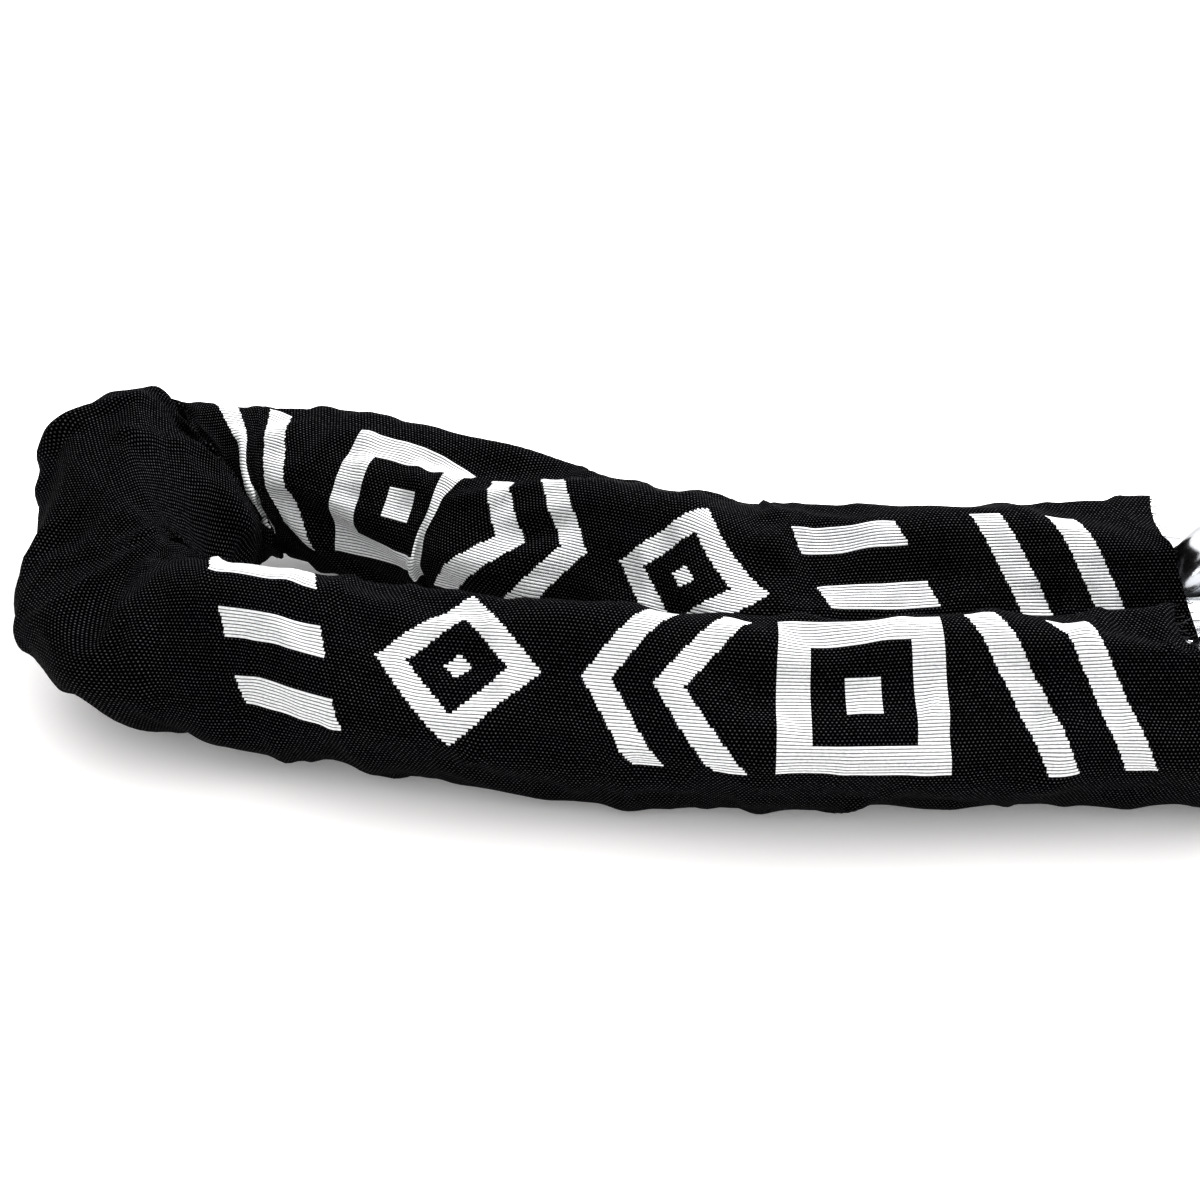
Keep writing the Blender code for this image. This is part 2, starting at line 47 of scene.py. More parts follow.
# Chain, as the frame's nodes have it, and how finely it is drawn.
WIRE_RADIUS = 5 * MM
CROWN_RADIUS = 12 * MM
CROWN_OFFSET = 8.7 * MM
WELD_RISE = 0.35 * MM
WELD_REACH = 1.6 * MM
LINKS_PER_STRAND = 8
WIRE_SIDES = 20
CROWN_STEPS = 18
LEG_STEPS = 8
ROUGH_SIDES = 10
ROUGH_CROWN_STEPS = 8

# Sleeve: the tube before it settles, and its cloth.
GIRTH_MM = 114.0
TUBE_RADIUS = GIRTH_MM / (2 * math.pi) * MM
AROUND = 52
PATH_STEP = 0.5 * MM
RING_STEP = 2.2 * MM
CORNER_BLUR = 5.0 * MM
BEND_BLUR = 11.0 * MM
SPARE_LENGTH = 1.06
BEND_SPARE = 0.55
INSIDE_SHARE = 0.8
RIPPLE = 0.45 * MM
RIPPLE_LENGTHS = (0.017, 0.026)
END_SLANT = 6.0 * MM
SLANT_LENGTH = 40.0 * MM
CLOTH_THICKNESS = 0.8 * MM
HINGE_REACH_MM = 7.0

# Hood: where the sleeve stands up beyond the chain on the outside of the U.
HOOD_MIDDLE = 14.0 * MM
HOOD_REACH = 17.0 * MM
HOOD_SHIFT = Vector((-7.5, 6.0, 2.6)) * MM
HOOD_GIRTH = 0.15
HOOD_CRESTS = (3, 8, 13)

# Cloth run: it is scaled up, as the solver is coarse on small cloth. Gaps and ground have its scale.
CLOTH_SCALE = 20.0
CLOTH_FRAMES = 42
PIN_EVERY = 9
CREST_EVERY = 3
LINK_GAP = 0.012
GROUND_GAP = 0.008
INNER_GAP = 0.02
COLLIDER_FRICTION = 12
GROUND_SIZE = 12.0
CLOTH_SETTINGS = {
    "quality": 7, "mass": 0.25, "air_damping": 2.0,
    "tension_stiffness": 50, "compression_stiffness": 50, "shear_stiffness": 6,
    "bending_model": "ANGULAR", "bending_stiffness": 0.5,
    "tension_damping": 10, "compression_damping": 10, "shear_damping": 10, "bending_damping": 1,
    "vertex_group_mass": "pins", "pin_stiffness": 5.0,
}
TOUCH_SETTINGS = {
    "distance_min": 0.012, "collision_quality": 3,
    "use_self_collision": True, "self_distance_min": 0.014, "self_friction": 8,
}

# Creases: how many, and the ranges of their place along the cloth, rise, width and length in mm.
CREASES = ((190, (-330.0, 330.0), (0.35, 1.5), (1.5, 2.8), (6.0, 20.0)),
           (26, (-60.0, 100.0), (1.1, 2.3), (2.6, 4.2), (12.0, 24.0)),
           (36, (-330.0, 330.0), (1.1, 2.4), (3.6, 6.0), (14.0, 28.0)))
CREASE_SEED = 11
CREASE_HOLLOW = 0.35 * MM
CREASE_LEAN = 0.7
CREASE_BOW = 0.02
HOLLOW_SHARE = 0.55
HOLLOW_WIDTH = 2.2
FLOOR_REST = 0.1 * MM

# Frayed ends of yarn round each cut end.
FRAYS = 70
FRAY_SEED = 5
FRAY_LENGTH = 2.6 * MM
FRAY_RADIUS = 0.1 * MM
FRAY_SWAY = 0.35
FRAY_ROOT = 0.15
FRAY_SHORTEST = 0.25
FRAY_RINGS = 4
FRAY_SIDES = 3
RIM_DEPTH = 2

# Weave: sizes are in millimetres of cloth. White shapes fill cells beyond a plain stretch at the U.
WEFT_MM = GIRTH_MM / 188
WARP_MM = 0.74
CELL_MM = 36.0
MOTIF_HALF_MM = 15.2
PLAIN_FRONT_MM = 66.0
PLAIN_BACK_MM = 48.0
CELLS_FRONT = 5
CELLS_BACK = 6
MOTIFS = 5
ROW_FRONT_DEG = 42.0
ROW_BACK_DEG = -36.0
TWIST_START_MM = -70.0
TWIST_LENGTH_MM = 125.0
GROUND_COLOURS = ((0.0002, 0.0002, 0.0003), (0.0006, 0.0006, 0.0008))
# Painted highlight: the lighter grey put on the crown of each black yarn, standing in for the sheen of
# the nylon.
PAINTED_GLINT_COLOUR = (0.112, 0.109, 0.119)
THREAD_COLOURS = ((0.62, 0.63, 0.635), (0.82, 0.83, 0.83))
GROOVE_COLOUR = (0.06, 0.06, 0.065)
WEAVE_DEPTH = 0.22 * MM

# Shackle, as the frame's node has it.
SHACKLE_RADIUS = 5 * MM
SHACKLE_CORNER = 11 * MM
TOE_LENGTH = 47 * MM
POCKET_ACROSS = 12.2 * MM
POCKET_RADIUS = 4.6 * MM
END_CHAMFER = 0.3 * MM
END_INSET = 0.4 * MM
SHACKLE_SIDES = 28
CORNER_STEPS = 12

# Rounding of the lock's parts in mm, where a node has it, and the angles that count as edges.
EDGES_MM = {"lock_body": 0.8, "jacket": 0.7, "guard_plate": 0.5, "key_bow": 0.7, "key_blade": 0.15,
            "barrel": 0.3, "cam": 0.2, "plate_screw_1": 0.2, "plate_screw_2": 0.2}
EDGE_SEGMENTS = 3
EDGE_ANGLE_DEG = 38
SHARP_ANGLE_DEG = 34
FLAT_ANGLE_DEG = 1
SAME_POINT = 0.01 * MM

# Grip ribs on the lock's jacket.
GRIP_RIBS = 9
GRIP_MARGIN = 9 * MM
GRIP_WIDTH = 2.0 * MM
GRIP_RISE = 0.7 * MM
GRIP_SHARE = 0.62
GRIP_ROUND = 0.7
GRIP_SHARP_DEG = 40

# Light: the sky's strengths, and the directions between which they change.
SKY_TOP = 1.7
SKY_SIDE = 1.0
SKY_DARK = 0.12
SIDE_TO_TOP = (0.2, 0.75)
DARK_TO_TOP = (-0.93, -0.7)
LAMP_PLACE = Vector((0.42, 0.22, 0.6))
LAMP_SIZE = 0.22
LAMP_POWER = 8.0
FLOOR_SIZE = 6.0
FLOOR_COLOUR = (0.92, 0.905, 0.9)
FLOOR_GLOW = 0.22
VIEW_GAMMA = 0.86

# Camera: beyond the apex link's centre, in the frame's axes.
CAMERA_ALONG = 0.0861
CAMERA_BACK = 0.3688
CAMERA_HEIGHT = 0.2222
CAMERA_PITCH = 30.4
CAMERA_LENS = 64.2
CAMERA_SENSOR = 36
CAMERA_NEAR = 0.01


# ---------------------------------------------------------------- places from the frame

def middle_of(node):
    low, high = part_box(node)
    return (low + high) / 2


def heading_of(node, outwards):
    """A link's length axis, pointing away from the apex."""
    points = np.array([v.co for v in frame["nodes"][node].data.vertices])
    spread = points - points.mean(0)
    axis = Vector(np.linalg.eigh(spread.T @ spread)[1][:, -1])
    return axis if axis.dot(outwards) > 0 else -axis


def strand(side):
    """The places of a strand's links: [(centre, heading, lying)], from the apex outwards."""
    before = middle_of("link_apex")
    links = []
    for number in range(1, LINKS_PER_STRAND + 1):
        name = f"link_{side}_{number}"
        centre = middle_of(name)
        links.append((centre, heading_of(name, centre - before), number % 2 == 1))
        before = centre
    return links


def apex_place():
    """The place of the link in the middle of the U, as strand() has the others."""
    return middle_of("link_apex"), heading_of("link_apex", Vector((0, 1, 0))), False


def sleeve_corners(side):
    """The sleeve's path over one strand: the crown centres of its lying links, then its cut end."""
    points = []
    for centre, heading, lying in strand(side):
        if lying:
            points += [centre - heading * CROWN_OFFSET, centre + heading * CROWN_OFFSET]
    _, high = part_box(f"sleeve_{side}_{LINKS_PER_STRAND}")
    points.append(Vector((high.x, points[-1].y, points[-1].z)))
    return points


# ---------------------------------------------------------------- small mesh helpers

def new_object(name, mesh, smooth=True):
    obj = bpy.data.objects.new(name, mesh)
    bpy.context.scene.collection.objects.link(obj)
    if smooth:
        mesh.shade_smooth()
    return obj


def grid_mesh(name, points, faces):
    mesh = bpy.data.meshes.new(name)
    mesh.from_pydata([tuple(p) for p in points], [], faces)
    return mesh


def resample(points, step):
    """The same path with an even spacing, near the one asked for."""
    along = np.concatenate([[0], np.cumsum(np.linalg.norm(np.diff(points, axis=0), axis=1))])
    count = int(round(along[-1] / step)) + 1
    at = np.linspace(0, along[-1], count)
    return np.stack([np.interp(at, along, points[:, k]) for k in range(3)], axis=1)


def bell(values, reach, step):
    """The values averaged with a bell curve, keeping the two ends where they are."""
    width = int(3 * reach / step)
    kernel = np.exp(-0.5 * (np.arange(-width, width + 1) * step / reach) ** 2)
    before = 2 * values[0] - values[width:0:-1]
    after = 2 * values[-1] - values[-2:-width - 2:-1]
    return np.convolve(np.concatenate([before, values, after]), kernel / kernel.sum(), "valid")


def hoop_faces(rings, around, closed=False):
    """Quads from each ring of points to the next, and from the last to the first if closed."""
    total = rings * around
    faces = []
    for i in range(rings if closed else rings - 1):
        for j in range(around):
            a, b = i * around + j, i * around + (j + 1) % around
            faces.append((a, b, (b + around) % total, (a + around) % total))
    return faces


def mesh_of(bm, name):
    """The bmesh as a mesh."""
    mesh = bpy.data.meshes.new(name)
    bm.to_mesh(mesh)
    bm.free()
    return mesh


def face_outwards(mesh):
    bm = bmesh.new()
    bm.from_mesh(mesh)
    bmesh.ops.recalc_face_normals(bm, faces=bm.faces)
    bm.to_mesh(mesh)
    bm.free()


def link_path(crown_steps):
    """A link's centre line in its own plane: two crowns joined by straight legs."""
    path = []
    for side in (1, -1):
        for step in range(crown_steps + 1):
            angle = side * math.pi / 2 - side * math.pi * step / crown_steps
            path.append((side * (CROWN_OFFSET + CROWN_RADIUS * math.cos(angle)),
                         CROWN_RADIUS * math.sin(angle)))
        for step in range(1, LEG_STEPS):
            path.append((side * CROWN_OFFSET * (1 - 2 * step / LEG_STEPS), -side * CROWN_RADIUS))
    return path


def link_mesh(name, centre, heading, lying, around=WIRE_SIDES, crown_steps=CROWN_STEPS):
    """A welded link: a round wire bent into two crowns and two legs, with a weld on one leg."""
    path = link_path(crown_steps)
    up = Vector((0, 0, 1))
    flat = heading.cross(up) if lying else up
    third = heading.cross(flat)
    points = []
    for i, (x, y) in enumerate(path):
        ahead = Vector(path[(i + 1) % len(path)]) - Vector(path[i - 1])
        ahead.normalize()
        outward = Vector((ahead.y, -ahead.x))
        weld = WELD_RISE * math.exp(-(x / WELD_REACH) ** 2) if y < 0 else 0.0
        radius = WIRE_RADIUS + weld
        for j in range(around):
            angle = 2 * math.pi * j / around
            place = Vector((x, y)) + outward * radius * math.cos(angle)
            points.append(centre + heading * place.x + flat * place.y
                          + third * radius * math.sin(angle))
    mesh = grid_mesh(name, points, hoop_faces(len(path), around, closed=True))
    face_outwards(mesh)
    return mesh


# ---------------------------------------------------------------- the sleeve's tube

class Tube:
    """The sleeve before it settles: rings of cloth along a smooth path, evenly spaced in the cloth."""

    def __init__(self):
        corners = [*reversed(sleeve_corners("front")), middle_of("link_apex"), *sleeve_corners("back")]
        fine = resample(np.array([tuple(p) for p in corners]), PATH_STEP)
        fine = np.stack([bell(fine[:, k], CORNER_BLUR, PATH_STEP) for k in range(3)], axis=1)
        travelled = np.arange(len(fine)) * PATH_STEP
        start = travelled[np.argmin(np.linalg.norm(fine - np.array(middle_of("link_apex")), axis=1))]
        share = np.exp(-0.5 * ((travelled - start - HOOD_MIDDLE) / HOOD_REACH) ** 2)
        fine = fine + share[:, None] * np.array(HOOD_SHIFT)
        ahead = unit(np.gradient(fine, axis=0))
        turn = np.cross(ahead, np.gradient(ahead, axis=0))[:, 2] / PATH_STEP
        bend = bell(turn, BEND_BLUR, PATH_STEP)
        rate = SPARE_LENGTH + BEND_SPARE * TUBE_RADIUS * np.abs(bend)
        cloth = np.concatenate([[0], np.cumsum(rate[1:] * PATH_STEP)])
        self.rings = int(round(cloth[-1] / RING_STEP)) + 1
        at = np.linspace(0, cloth[-1], self.rings)
        self.path = np.stack([np.interp(at, cloth, fine[:, k]) for k in range(3)], axis=1)
        self.bend = np.interp(at, cloth, bend)
        self.radius = TUBE_RADIUS * (1 + HOOD_GIRTH * np.interp(at, cloth, share))[:, None]
        self.rest = at
        self.zero = np.interp(self.nearest(middle_of("link_apex")), np.arange(self.rings), at)
        self.angles = 2 * math.pi * np.arange(AROUND) / AROUND

    def nearest(self, point):
        return np.argmin(np.linalg.norm(self.path - np.array(point), axis=1))

    def distance_mm(self, ring):
        """Cloth distance from the apex in millimetres, negative on the front strand."""
        return (self.rest[ring] - self.zero) / MM

    def slant(self):
        """How far each point of the end rings leans along the cloth, for every ring and angle."""
        from_end = np.minimum(self.rest, self.rest[-1] - self.rest)
        lean = np.clip(1 - from_end / SLANT_LENGTH, 0, 1) ** 2 * END_SLANT
        lean *= np.where(self.rest < self.zero, 1, -1)
        return lean[:, None] * np.sin(self.angles)[None, :]

    def flat(self):
        """The rest shape: a straight tube."""
        across = self.radius * np.cos(self.angles)[None, :]
        upward = self.radius * np.sin(self.angles)[None, :]
        return np.stack([self.rest[:, None] + self.slant(), across, upward], axis=2).reshape(-1, 3)

    def placed(self):
        """The tube round the chain, drawn in on the inside of each bend, with a slight ripple."""
        ahead = unit(np.gradient(self.path, axis=0))
        outwards = unit(np.cross((0.0, 0.0, 1.0), ahead))
        squeeze = np.minimum(1, INSIDE_SHARE / (np.abs(self.bend) * TUBE_RADIUS + 1e-6))
        cosine = np.broadcast_to(np.cos(self.angles), (self.rings, AROUND)).copy()
        inside = cosine * self.bend[:, None] > 0
        cosine = np.where(inside, cosine * squeeze[:, None], cosine)
        s, a = self.rest[:, None], self.angles[None, :]
        short, long = RIPPLE_LENGTHS
        wave = np.sin(s * 2 * math.pi / short + 2 * np.cos(a))
        wave = wave + np.sin(s * 2 * math.pi / long - 2 * np.sin(a) + 1)
        radius = self.radius + RIPPLE * wave
        points = self.path[:, None, :] + (radius * cosine)[:, :, None] * outwards[:, None, :]
        points[:, :, 2] += radius * np.sin(self.angles) + (self.radius - TUBE_RADIUS)
        points += self.slant()[:, :, None] * ahead[:, None, :]
        return points.reshape(-1, 3)


def unit(vectors):
    return vectors / np.linalg.norm(vectors, axis=1)[:, None]


def smooth_share(value):
    """0 below 0, 1 above 1, and a smooth step between them."""
    share = np.clip(value, 0, 1)
    return share * share * (3 - 2 * share)


def twist_of(s_mm):
    """How far the woven rows have turned round the strand, in degrees, along the cloth."""
    share = smooth_share((s_mm - TWIST_START_MM) / TWIST_LENGTH_MM)
    return ROW_FRONT_DEG + (ROW_BACK_DEG - ROW_FRONT_DEG) * share


def tube_mesh(tube):
    """The tube's cage, with cloth coordinates in millimetres in its UV map."""
    uv = []
    along = tube.distance_mm(np.arange(tube.rings))[:, None] + tube.slant() / MM
    for i in range(tube.rings - 1):
        for j in range(AROUND):
            for ring, column in ((i, j), (i, j + 1), (i + 1, j + 1), (i + 1, j)):
                s = along[ring, column % AROUND]
                turn = 360.0 * column / AROUND - twist_of(s)
                uv += (s, GIRTH_MM * turn / 360.0)
    mesh = grid_mesh("sleeve_cage", tube.placed(), hoop_faces(tube.rings, AROUND))
    cloth = mesh.uv_layers.new(name="cloth")
    cloth.data.foreach_set("uv", uv)
    distances = np.repeat(tube.distance_mm(np.arange(tube.rings)), AROUND)
    for name, values in (("distance", distances),
                         ("cosine", np.tile(np.cos(tube.angles), tube.rings)),
                         ("sine", np.tile(np.sin(tube.angles), tube.rings))):
        layer = mesh.attributes.new(name, "FLOAT", "POINT")
        layer.data.foreach_set("value", values.astype(np.float32))
    return mesh


# ---------------------------------------------------------------- cloth

def collider(obj, gap):
    obj.modifiers.new("collision", "COLLISION")
    settings = obj.collision
    settings.thickness_outer = gap
    settings.thickness_inner = INNER_GAP
    settings.cloth_friction = COLLIDER_FRICTION


def link_bumps():
    """Rough links at the cloth run's scale, for the cloth to fall on."""
    places = [(f"bump_{side}_{number}", place)
              for side in ("front", "back") for number, place in enumerate(strand(side), start=1)]
    places.append(("bump_apex", apex_place()))
    bumps = []
    for name, place in places:
        bump = new_object(name, link_mesh("bump", *place, ROUGH_SIDES, ROUGH_CROWN_STEPS))
        bump.data.transform(Matrix.Scale(CLOTH_SCALE, 4))
        collider(bump, LINK_GAP)
        bumps.append(bump)
    return bumps


def ground_sheet():
    bm = bmesh.new()
    bmesh.ops.create_grid(bm, x_segments=2, y_segments=2, size=GROUND_SIZE)
    ground = new_object("ground_run", mesh_of(bm, "ground"))
    collider(ground, GROUND_GAP)
    return ground


def pin_cloth(cloth_obj, tube):
    """Holds a few points of both cut ends, and the crest of the hood."""
    pins = cloth_obj.vertex_groups.new(name="pins")
    for ring in (0, tube.rings - 1):
        held = [ring * AROUND + column for column in range(0, AROUND, PIN_EVERY)]
        pins.add(held, 1.0, "REPLACE")
    for ring in range(0, tube.rings, CREST_EVERY):
        if abs(tube.distance_mm(ring) * MM - HOOD_MIDDLE) < HOOD_REACH:
            pins.add([ring * AROUND + column for column in HOOD_CRESTS], 1.0, "REPLACE")


def run_cloth(cloth_obj, slack):
    """Runs the cloth from its first frame to its last, and returns its points."""
    run = cloth_obj.modifiers.new("cloth", "CLOTH")
    for holder, values in ((run.settings, CLOTH_SETTINGS), (run.collision_settings, TOUCH_SETTINGS)):
        for key, value in values.items():
            setattr(holder, key, value)
    run.settings.rest_shape_key = slack
    scene = bpy.context.scene
    for holder in (run.point_cache, scene):
        holder.frame_start = 1
        holder.frame_end = CLOTH_FRAMES
    for number in range(1, CLOTH_FRAMES + 1):
        scene.frame_set(number)
    seen = cloth_obj.evaluated_get(bpy.context.evaluated_depsgraph_get())
    return np.array([v.co for v in seen.data.vertices])


def settle(tube, cage):
    """Drops the cage on the links and the floor as cloth, and returns its settled points."""
    big = cage.copy()
    big.transform(Matrix.Scale(CLOTH_SCALE, 4))
    cloth_obj = new_object("cloth_run", big)
    cloth_obj.shape_key_add(name="Basis")
    slack = cloth_obj.shape_key_add(name="slack")
    slack.data.foreach_set("co", (tube.flat() * CLOTH_SCALE).astype(np.float32).ravel())
    slack.value = 0.0
    pin_cloth(cloth_obj, tube)
    helpers = [cloth_obj, *link_bumps(), ground_sheet()]
    settled = run_cloth(cloth_obj, slack) / CLOTH_SCALE
    for helper in helpers:
        bpy.data.objects.remove(helper)
    bpy.context.scene.frame_set(1)
    return settled


def numbers(mesh, name):
    """A point attribute's values."""
    values = np.zeros(len(mesh.vertices), np.float32)
    mesh.attributes[name].data.foreach_get("value", values)
    return values


def crease(mesh):
    """Presses seeded folds into the settled cloth, each a ridge with a shallow hollow on both sides.

    No point goes below the floor.
    """
    rng = np.random.RandomState(CREASE_SEED)
    s = numbers(mesh, "distance")
    t = np.arctan2(numbers(mesh, "sine"), numbers(mesh, "cosine")) / (2 * math.pi) * GIRTH_MM
    rise = np.zeros(len(s))
    for spans in [spans for count, *spans in CREASES for _ in range(count)]:
        middle, height, width, length = (rng.uniform(*span) for span in spans)
        turn = GIRTH_MM * (rng.rand() - 0.5)
        lean = rng.uniform(-CREASE_LEAN, CREASE_LEAN)
        ds = s - middle
        dt = (t - turn + GIRTH_MM / 2) % GIRTH_MM - GIRTH_MM / 2
        along = dt * math.cos(lean) - ds * math.sin(lean)
        bow = rng.uniform(-CREASE_BOW, CREASE_BOW)
        across = ds * math.cos(lean) + dt * math.sin(lean) + bow * along ** 2
        hollow = HOLLOW_SHARE * np.exp(-(across / (HOLLOW_WIDTH * width)) ** 2)
        ridge = np.exp(-(across / width) ** 2) - hollow
        rise += height * ridge * np.exp(-(along / length) ** 2)
    rise = np.maximum(rise * MM, -CREASE_HOLLOW)
    places = np.array([v.co for v in mesh.vertices])
    normals = np.array([v.normal for v in mesh.vertices])
    raised = places + normals * rise[:, None]
    raised[:, 2] = np.maximum(raised[:, 2], FLOOR_REST)
    mesh.vertices.foreach_set("co", raised.astype(np.float32).ravel())
    mesh.update()


def sleeve_surface():
    """The settled sleeve as one smooth mesh."""
    tube = Tube()
    cage = tube_mesh(tube)
    settled = settle(tube, cage)
    cage.vertices.foreach_set("co", settled.astype(np.float32).ravel())
    whole = new_object("sleeve_whole", cage)
    smooth = whole.modifiers.new("smooth", "SUBSURF")
    smooth.levels = 1
    smooth.render_levels = 1
    seen = whole.evaluated_get(bpy.context.evaluated_depsgraph_get())
    mesh = bpy.data.meshes.new_from_object(seen)
    bpy.data.objects.remove(whole)
    crease(mesh)
    return tube, mesh


# ---------------------------------------------------------------- sleeve pieces

def section_bounds(tube):
    """Each section's name, bodies, hinge place and the cloth distances where it starts and ends."""
    def at(point):
        return tube.distance_mm(tube.nearest(point))

    sections = []
    for side in ("front", "back"):
        links = strand(side)
        middles = [middle_of("link_apex")] + [centre for centre, _, _ in links]
        corners = sleeve_corners(side)
        for number in range(1, LINKS_PER_STRAND + 1):
            start = at(middles[number - 1])
            end = at(middles[number]) if number < LINKS_PER_STRAND else at(corners[-1])
            hinge = at(corners[number - 1])
            parent = "apex" if number == 1 else f"{side}_{number - 1}"
            sections.append((f"{side}_{number}", parent, f"{side}_{number}", hinge, start, end))
    return sections


def cut_section(name, mesh, face_s, place_of, normals, low, high):
    """The part of the sleeve between two cloth distances, as a closed double layer."""
    chosen = [p for p in mesh.polygons if low < face_s[p.index] < high]
    used = sorted({v for p in chosen for v in p.vertices})
    renumber = {v: i for i, v in enumerate(used)}
    count = len(used)
    points = place_of[used]
    inner = points - normals[used] * CLOTH_THICKNESS
    faces = [[renumber[v] for v in p.vertices] for p in chosen]
    loops = [list(p.loop_indices) for p in chosen]
    edges = {}
    for face, corners in zip(faces, loops):
        for i, a in enumerate(face):
            k = (i + 1) % len(face)
            key = frozenset((a, face[k]))
            edges[key] = None if key in edges else (a, face[k], corners[i], corners[k])
    rims = [edge for edge in edges.values() if edge]
    inner_faces = [[v + count for v in reversed(face)] for face in faces]
    inner_loops = [list(reversed(corners)) for corners in loops]
    rim_faces = [[b, a, a + count, b + count] for a, b, _, _ in rims]
    rim_loops = [[q, p, p, q] for _, _, p, q in rims]
    made = grid_mesh(name, np.concatenate([points, inner]), faces + inner_faces + rim_faces)
    return made, loops + inner_loops + rim_loops, used


def make_sleeve(finish, yarn):
    """The sleeve's pieces, one for each joint, in place of the frame's sections."""
    tube, mesh = sleeve_surface()
    place_of = np.array([v.co for v in mesh.vertices])
    normals = np.array([v.normal for v in mesh.vertices])
    layer = mesh.uv_layers["cloth"]
    uv = np.zeros(len(mesh.loops) * 2, np.float32)
    layer.data.foreach_get("uv", uv)
    uv = uv.reshape(-1, 2)
    distance = numbers(mesh, "distance")
    face_s = {p.index: distance[list(p.vertices)].mean() for p in mesh.polygons}
    for name, parent, child, hinge, start, end in section_bounds(tube):
        low, high = min(start, end), max(start, end)
        made, loops, used = cut_section(f"cloth_{name}", mesh, face_s, place_of, normals, low, high)
        cloth = made.uv_layers.new(name="cloth")
        flat = [i for ls in loops for i in ls]
        cloth.data.foreach_set("uv", uv[flat].astype(np.float32).ravel())
        made.materials.append(finish)
        piece = new_object(f"cloth_{name}", made)
        vertex_normals = np.concatenate([normals[used], -normals[used]])
        made.normals_split_custom_set_from_vertices([tuple(n) for n in vertex_normals])
        outwards = 1 if end > start else -1
        if name.endswith(f"_{LINKS_PER_STRAND}"):
            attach(piece, parent)
        else:
            bend_cloth(piece, distance[used], hinge, outwards)
        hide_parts(f"sleeve_{name}")
    for side in ("front", "back"):
        make_frays(side, tube, mesh, yarn)


def bend_cloth(piece, distance, hinge, outwards):
    """Bakes a section's place into its mesh and works out blend weights over its joint by distance along
    the cloth, but does not apply them.
    """
    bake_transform(piece)
    weight = smooth_share(((distance - hinge) * outwards + HINGE_REACH_MM) / (2 * HINGE_REACH_MM))
    weight = np.concatenate([weight, weight])


def make_frays(side, tube, mesh, finish):
    """Short loose ends of yarn round a cut end, from the cage's points, which come first in the mesh."""
    rng = np.random.RandomState(FRAY_SEED)
    end = 0 if side == "front" else tube.rings - 1
    before = end + RIM_DEPTH if side == "front" else end - RIM_DEPTH
    rim = np.array([mesh.vertices[end * AROUND + j].co for j in range(AROUND)])
    back = np.array([mesh.vertices[before * AROUND + j].co for j in range(AROUND)])
    points, faces = [], []
    for _ in range(FRAYS):
        first = len(points)
        j = rng.randint(AROUND)
        share = rng.rand()
        root = rim[j] * (1 - share) + rim[(j + 1) % AROUND] * share
        ahead = rim[j] - back[j]
        ahead /= np.linalg.norm(ahead)
        sway = rng.randn(3) * FRAY_SWAY
        length = FRAY_LENGTH * (FRAY_SHORTEST + (1 - FRAY_SHORTEST) * rng.rand() ** 2)
        for ring in range(FRAY_RINGS):
            along = ring / (FRAY_RINGS - 1)
            place = root + length * (ahead * (along - FRAY_ROOT) + sway * along ** 2)
            for k in range(FRAY_SIDES):
                turn = 2 * math.pi * k / FRAY_SIDES
                points.append(place + FRAY_RADIUS * np.array((0.0, math.cos(turn), math.sin(turn))))
        last = len(points) - FRAY_SIDES
        faces += [tuple(first + v for v in face) for face in hoop_faces(FRAY_RINGS, FRAY_SIDES)]
        faces += [(first + 2, first + 1, first), (last, last + 1, last + 2)]
    yarns = grid_mesh(f"frays_{side}", points, faces)
    yarns.materials.append(finish)
    obj = new_object(f"frays_{side}", yarns)
    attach(obj, f"{side}_{LINKS_PER_STRAND - 1}")


# ---------------------------------------------------------------- shader node helper

class Nodes:
    """Builds a material's node tree with short calls."""

    def __init__(self, name):
        self.material = bpy.data.materials.new(name)
        self.material.use_nodes = True
        self.tree = self.material.node_tree
        self.shader = self.tree.nodes["Principled BSDF"]

    def new(self, kind, **settings):
        node = self.tree.nodes.new(kind)
        for key, value in settings.items():
            setattr(node, key, value)
        return node

    def link(self, value, socket):
        if isinstance(value, (int, float)):
            socket.default_value = value
        elif isinstance(value, tuple):
            socket.default_value = (*value, 1.0) if len(value) == 3 and socket.type == "RGBA" else value
        else:
            self.tree.links.new(value, socket)

    def math(self, operation, *values):
        node = self.new("ShaderNodeMath", operation=operation)
        for value, socket in zip(values, node.inputs):
            self.link(value, socket)
        return node.outputs[0]

    def mix(self, share, first, second):
        """Mixes two colours."""
        node = self.new("ShaderNodeMix", data_type="RGBA")
        self.link(share, node.inputs[0])
        self.link(first, node.inputs[6])
        self.link(second, node.inputs[7])
        return node.outputs[2]

    def noise(self, vector, scale, detail=3.0, roughness=0.5):
        node = self.new("ShaderNodeTexNoise")
        self.link(vector, node.inputs["Vector"])
        node.inputs["Scale"].default_value = scale
        node.inputs["Detail"].default_value = detail
        node.inputs["Roughness"].default_value = roughness
        return node.outputs["Fac"]

    def ramp(self, value, low, high, bottom=0.0, top=1.0):
        node = self.new("ShaderNodeMapRange", clamp=True)
        for socket, item in zip(node.inputs, (value, low, high, bottom, top)):
            self.link(item, socket)
        return node.outputs[0]

    def bump(self, height, strength, distance):
        node = self.new("ShaderNodeBump")
        self.link(height, node.inputs["Height"])
        node.inputs["Strength"].default_value = strength
        node.inputs["Distance"].default_value = distance
        return node.outputs[0]

    def set(self, **values):
        for key, value in values.items():
            self.link(value, self.shader.inputs[key.replace("_", " ")])
        return self.material


# ---------------------------------------------------------------- woven cloth

def below(n, value, limit):
    return n.math("LESS_THAN", value, limit)


def both(n, first, second):
    return n.math("MULTIPLY", first, second)


def ring_mask(n, distance, middle, half):
    """1 where a distance is within half of the middle value."""
    return below(n, n.math("ABSOLUTE", n.math("SUBTRACT", distance, middle)), half)


